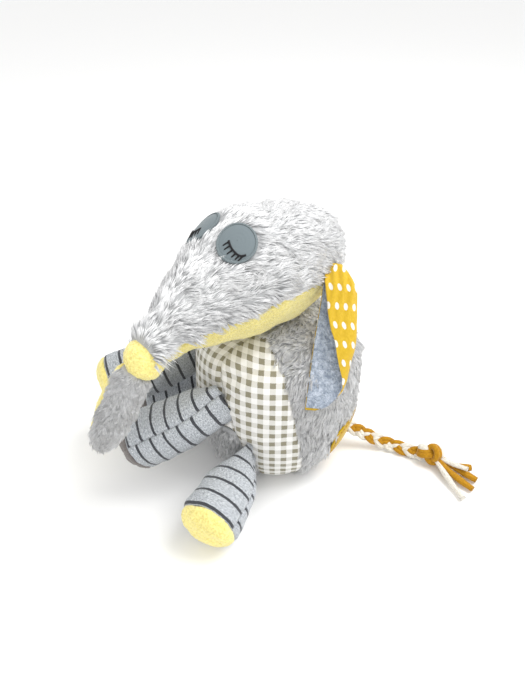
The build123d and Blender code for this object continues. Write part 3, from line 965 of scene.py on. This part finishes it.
P = head_panel(True, 90)
N = grid_normals(P)
split = int(np.searchsorted(HEAD_T, -12.0))
for name, whole, furred, seed, inside in (
        ("head_fur_pile", slice(0, split + 1), slice(2, split + 1), 101, ["head_stuffing"]),
        ("head_face_pile", slice(split, None), slice(split, -7), 111, [])):
    pile = Cloth()
    pile.shell(P[whole], 1.6, backing(P[whole]), N=N[whole])
    # the head's pile gets painted light, and a paler fringe along the chin seam
    fur(pile, P[furred], head_flow, 2700, seed, length=12.0, lift=0.25, spread=2.2, wild=0.5,
        keep=off_eyes, tint=painted_light_and_fringe)
    hand_over(pile.make(name, FUR), "grey_fur", "head_fur_panel", *inside, body="head", fill=0.85)

chin = Cloth()
P = head_panel(False, 84)
P = P + grid_normals(P) * (0.35 * waves(P, 3.4, 12) + 0.3 * waves(P, 24, 13))[..., None]
near_neck = bell(np.hypot(P[..., 0], P[..., 1]), 26.0) * (P[..., 2] < 190)
P[..., 2] = np.maximum(P[..., 2] - 10.0 * near_neck, np.minimum(P[..., 2], 158.5))
# painted shade: the chin's fleece is made 15 percent darker, for the shade under the head
chin.shell(P, 1.6, tint=-2.5)
hand_over(chin.make("head_chin_fleece", FLEECE), "yellow_fleece", "head_chin_panel", body="head",
          fill=0.85)

# folded trunk
BEND = HEAD_CENTRE + HEAD_Z * 102.0 - HEAD_Y * 38.0
BEND_R, BEND_ROWS, BEND_COLS = 17.0, 60, 90
lat, lon = np.meshgrid(np.linspace(0.02, pi - 0.02, BEND_ROWS), circle(BEND_COLS), indexing="ij")
ball = (HEAD_X * np.cos(lat)[..., None] + HEAD_Z * (np.sin(lat) * np.cos(lon))[..., None]
        + HEAD_Y * (np.sin(lat) * np.sin(lon))[..., None])
fold_line = np.sin(lat) * np.cos(lon) + 0.4 * np.sin(lat) * np.sin(lon)
size = BEND_R + 0.5 * waves(ball * BEND_R, 15, 21) + 0.32 * waves(ball * BEND_R, 3.2, 22)
size = size - 1.0 * bell(fold_line + 0.55, 0.10)
bend = Cloth()
bend.grid(BEND + ball * size[..., None])
for row in (0, BEND_ROWS - 1):
    bend.cap(row * BEND_COLS, BEND_COLS)
hand_over(bend.make("trunk_bend_cloth", FLEECE), "yellow_fleece", "trunk_bend_fleece",
          "trunk_bend_stuffing", body="head", fill=0.8)

# hanging end of the trunk
tip_turn, droop = radians(24.0), radians(54.0)
TIP_Z = np.array((sin(tip_turn) * cos(droop), -cos(tip_turn) * cos(droop), -sin(droop)))
TIP_X = np.array((cos(tip_turn), sin(tip_turn), 0.0))
TIP_Y = np.cross(TIP_Z, TIP_X)
TIP_PROFILE = [(9, 8), (14, 11.5), (16.6, 18), (17.6, 34), (17, 52), (15, 65), (11, 73), (6, 77.3),
               (2, 78.8), (0.3, 79)]
tip_line = spline(TIP_PROFILE, 70)
TIP_ROOT = BEND + np.array((-1.4, -4.3, 0.0))
TIP_SLIM = 0.87
STRIP_AT = radians(156.0)
r, z = tip_line.T
STRIP_HALF = np.arccos(np.clip(9.5 / np.maximum(r, 0.1), 0, 1))


def tip_grid(a0, a1, cols, lumps):
    """Grid of part of the trunk's end, between two angles for each ring."""
    r, z = tip_line.T
    s = np.linspace(0, 1, cols)
    angle = a0[:, None] + (a1 - a0)[:, None] * s
    out = TIP_X * np.cos(angle)[..., None] + TIP_Y * np.sin(angle)[..., None]
    P = TIP_ROOT + TIP_Z * z[:, None, None] + out * (r * TIP_SLIM)[:, None, None]
    far = np.minimum(s, 1 - s)[None] * (a1 - a0)[:, None] * r[:, None]
    move = groove(far, 1.2, 1.8) + lumps * waves(P, 3.2, 31) + 0.6 * waves(P, 22, 32)
    return P + grid_normals(P) * move[..., None]


def off_strip(p):
    """False where a strand would start on the fleece strip."""
    rel = p - TIP_ROOT
    return (rel @ TIP_X) * cos(STRIP_AT) + (rel @ TIP_Y) * sin(STRIP_AT) < 9.0


pile = Cloth()
P = tip_grid(STRIP_AT + STRIP_HALF, STRIP_AT + 2 * pi - STRIP_HALF, 70, 0.0)
pile.shell(P, 1.5, backing(P))
# painted shade: the pile on the hanging end of the trunk is made 18 percent darker
fur(pile, P[4:-2], lambda p: np.broadcast_to(TIP_Z, p.shape), 1700, 131, length=8.0, lift=0.22,
    spread=1.9, wild=0.4, keep=off_strip, tint=lambda p: -3.0, width=0.9, per=6)
hand_over(pile.make("trunk_tip_pile", FUR), "grey_fur", "trunk_tip_fur", "trunk_tip_stuffing",
          body="trunk_tip", fill=0.8)
strip = Cloth()
strip.shell(tip_grid(STRIP_AT - STRIP_HALF - 0.01, STRIP_AT + STRIP_HALF + 0.01, 30, 0.25), 1.5)
hand_over(strip.make("trunk_tip_lining_cloth", FLEECE), "yellow_fleece", "trunk_tip_lining",
          body="trunk_tip", fill=0.8)

# ---- eyes
LID = [(4.4, -4.5), (6.1, -0.3), (6.5, 3.9), (5.9, 8.1), (3.8, 11.2), (1.1, 12.5)]
LASHES = [((4.8, -3.7), (9.2, -5.3)), ((6.0, -0.7), (10.4, -2.0)), ((6.5, 3.2), (11.0, 2.3)),
          ((6.2, 6.8), (10.0, 6.6)), ((5.0, 9.8), (8.8, 9.8)), ((3.0, 11.7), (7.6, 12.2))]
EYE_ROWS, EYE_COLS = 34, 80


def eye_surface(x, y, side, lift):
    """Point over the eye patch: x forward, y outward from its middle."""
    far = np.sqrt((x / EYE_LENGTH) ** 2 + (y / EYE_WIDTH) ** 2)
    crown = 2.0 + 1.5 * np.clip(1 - far ** 4, 0, 1) + lift
    turn = radians(EYE_SIDE) + y / EYE_R
    return head_point(EYE_AT + x, pi / 2 - side * turn, crown)


def off_head(path):
    """Outward from the head's axis, for the cords that are sewn on the eyes."""
    return unit(path - (HEAD_CENTRE + HEAD_Z * EYE_AT))


for side, name in ((1, "left"), (-1, "right")):
    far, turn = np.meshgrid(np.linspace(0.01, 1, EYE_ROWS), circle(EYE_COLS), indexing="ij")
    x, y = far * EYE_LENGTH * np.cos(turn), far * EYE_WIDTH * np.sin(turn)
    top = eye_surface(x, y, side, 0.05 * np.sin(far * 2 * pi * 5.0))
    rim_in = eye_surface(x[-1], y[-1], side, -1.6)
    uv = np.stack([x, y], -1)
    felt = Cloth()
    felt.grid(np.r_[top, rim_in[None]], np.r_[uv, uv[-1:]])
    felt.cap(0, EYE_COLS)
    felt.cap(EYE_COLS * EYE_ROWS, EYE_COLS)
    turn = circle(240)
    reach = 0.965 + 0.012 * np.sin(turn * 60)
    edge = eye_surface(EYE_LENGTH * reach * np.cos(turn), EYE_WIDTH * reach * np.sin(turn), side, 0.25)
    felt.tube(edge, 1.05, 8, up=off_head(edge), flat=0.6, slot=1, loop=True)
    patch = felt.make(f"{name}_eye_patch_felt", EYE_FELT, EYE_EDGE)
    hand_over(patch, "eye_felt", f"{name}_eye_patch", body="head")
    thread = Cloth()
    lid = spline(LID, 60)
    path = eye_surface(lid[:, 0], lid[:, 1], side, 0.5)
    bead = 0.85 + 0.1 * np.sin(np.arange(60) * 2.1)
    thread.tube(path, bead, 8, up=off_head(path), flat=0.7)
    s = np.linspace(0, 1, 14)[:, None]
    for a, b in LASHES:
        flat = np.array(a) * (1 - s) + np.array(b) * s
        path = eye_surface(flat[:, 0], flat[:, 1], side, 0.45)
        thread.tube(path, np.linspace(0.8, 0.5, 14), 8, up=off_head(path), flat=0.7)
    lashes = thread.make(f"{name}_eye_lash_thread", BLACK)
    hand_over(lashes, "black_thread", f"{name}_eye_lashes", body="head")

# ---- ears
# root, direction down the ear, direction across it, and side
EARS = {
    "left": ((35.4, 42.6, 207.8), (0.480, -0.250, -0.841), (0.353, 0.932, -0.076), 1),
    "right": ((-63.5, 5.5, 206.5), (-0.220, 0.150, -0.964), (-0.150, 0.971, 0.185), -1),
}
EAR_END = 113.0
# at distances down the ear: places across it, and the fold's radius
FAR_HEM = (-8, 20, 55, 95, 114), (-14, -14.5, -17, -18.8, -19.3)
NEAR_HEM = (-8, 4, 23, 44, 68, 88), (-13, -14.5, -9.5, -4.8, 4.3, 9.5)
OUTER_EDGE = (-12, -6, 0, 8, 30, 60, 84, 101, 108.5, 114), (0, 6, 10, 13.8, 17.2, 17.2, 13.5, 8.5, 2, -10)
FOLD_RADIUS = (-12, 5, 60, 90, 101), (3.5, 6.0, 6.0, 4.2, 2.6)


def ear_grid(side, inset, shrink):
    """Rows down the ear of points round its fold, from the far hem to the near hem."""
    top, D, W, hand = EARS[side]
    D, W = unit(D), unit(W)
    N = np.cross(D, W) * hand
    rows = np.linspace(-12, EAR_END - shrink, 84)
    far_hem = np.interp(rows, *FAR_HEM) + shrink * 0.2
    near_hem = np.interp(rows, *NEAR_HEM) + shrink
    radius = np.interp(rows, *FOLD_RADIUS)
    fold = np.interp(rows, *OUTER_EDGE) - radius
    half = pi * np.clip((101.0 - rows) / 14.0, 0.04, 1)
    P = []
    for d, f, n, w, r, h in zip(rows, far_hem, near_hem, fold, radius, half):
        w = max(w, f + 0.8)
        flat = np.stack([np.linspace(f, w, 22)[:-1], np.full(21, -1.0 + inset)], 1)
        a = np.linspace(0, h, 14)
        bend = np.stack([w + (r - inset) * np.sin(a), -1.0 + r - (r - inset) * np.cos(a)], 1)
        last = max(w - n, 0.3) if d < 88 else 0.3
        near = bend[-1] + np.array((cos(h), sin(h))) * last * np.linspace(0, 1, 20)[1:, None]
        line = np.r_[flat, bend, near]
        P.append(np.concatenate([line, np.full((len(line), 1), d)], 1))
    P = np.array(P)
    w, n, d = P[..., 0], P[..., 1], P[..., 2]
    near_side = np.clip((n - 2) / 6, 0, 1)
    pleat = np.exp(-np.maximum(d + 5, 0) / 34.0) * 1.15 * np.sin(w * 0.85 + 0.4)
    n = n + near_side * (pleat + 0.6 * np.sin(d * 0.11 + w * 0.12))
    n = n + (1 - near_side) * 0.9 * np.sin(d * 0.07 + 1.0) * np.clip((d - 15) / 40, 0, 1)
    w = w + near_side * 0.8 * np.sin(d * 0.16)
    place = np.array(top) + W * w[..., None] + N * n[..., None] + D * d[..., None]
    run = np.array([run_of(line[:, :2]) for line in P])
    return place, np.stack([(run - run[:, -1:]) * 1.8, d], -1), N


for side, (top, D, *_) in EARS.items():
    top, D = np.array(top), np.array(D)
    for layer, inset, shrink, thick, finish, slot in (("outer", 0.0, 0.0, 1.1, POLKA, "polka_cotton"),
                                                      ("lining", 1.25, 2.1, 1.4, TERRY, "blue_terry")):
        P, uv, N = ear_grid(side, inset, shrink)
        normals = unit(np.cross(np.gradient(P, axis=1), np.gradient(P, axis=0)))
        if (normals[30, :15] @ N).mean() > 0:
            normals = -normals
        if layer == "lining":
            P = P - normals * (0.22 * waves(P, 2.6, 151))[..., None]
        leaf = Cloth()
        leaf.shell(P, thick, uv, N=normals)
        piece = leaf.make(f"{side}_ear_{layer}_cloth", finish)
        hand_over(piece, slot, f"{side}_ear_{layer}")
        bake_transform(piece)
        step = np.linalg.norm(np.diff(P.mean(1), axis=0), axis=1)

# ---- stage
floor_mesh = bpy.data.meshes.new("floor")
far = 14.0
floor_mesh.from_pydata([(-far, -far, 0), (far, -far, 0), (far, far, 0), (-far, far, 0)], [], [(0, 1, 2, 3)])
floor = placed("floor", floor_mesh)
paper = bpy.data.materials.new("white paper")
paper.use_nodes = True
paper_shader = paper.node_tree.nodes["Principled BSDF"]
paper_shader.inputs["Base Color"].default_value = (0.93, 0.93, 0.925, 1)
paper_shader.inputs["Roughness"].default_value = 0.8
floor_mesh.materials.append(paper)

world = bpy.data.worlds.new("world")
world.use_nodes = True
sky = world.node_tree.nodes["Background"]
sky.inputs["Color"].default_value = (1.0, 1.0, 1.0, 1.0)
sky.inputs["Strength"].default_value = 0.98
bpy.context.scene.world = world
bpy.context.scene.view_settings.view_transform = "Standard"


def area_light(name, where, size, power):
    """A soft box aimed at the elephant."""
    data = bpy.data.lights.new(name, "AREA")
    data.size = size
    data.energy = power
    aimed(name, data, where, Vector((0, 0, 0.1)) - Vector(where))


area_light("key", (0.25, 0.6, 1.3), 0.8, 14.0)
area_light("fill", (0.9, -0.6, 0.9), 1.0, 3.0)
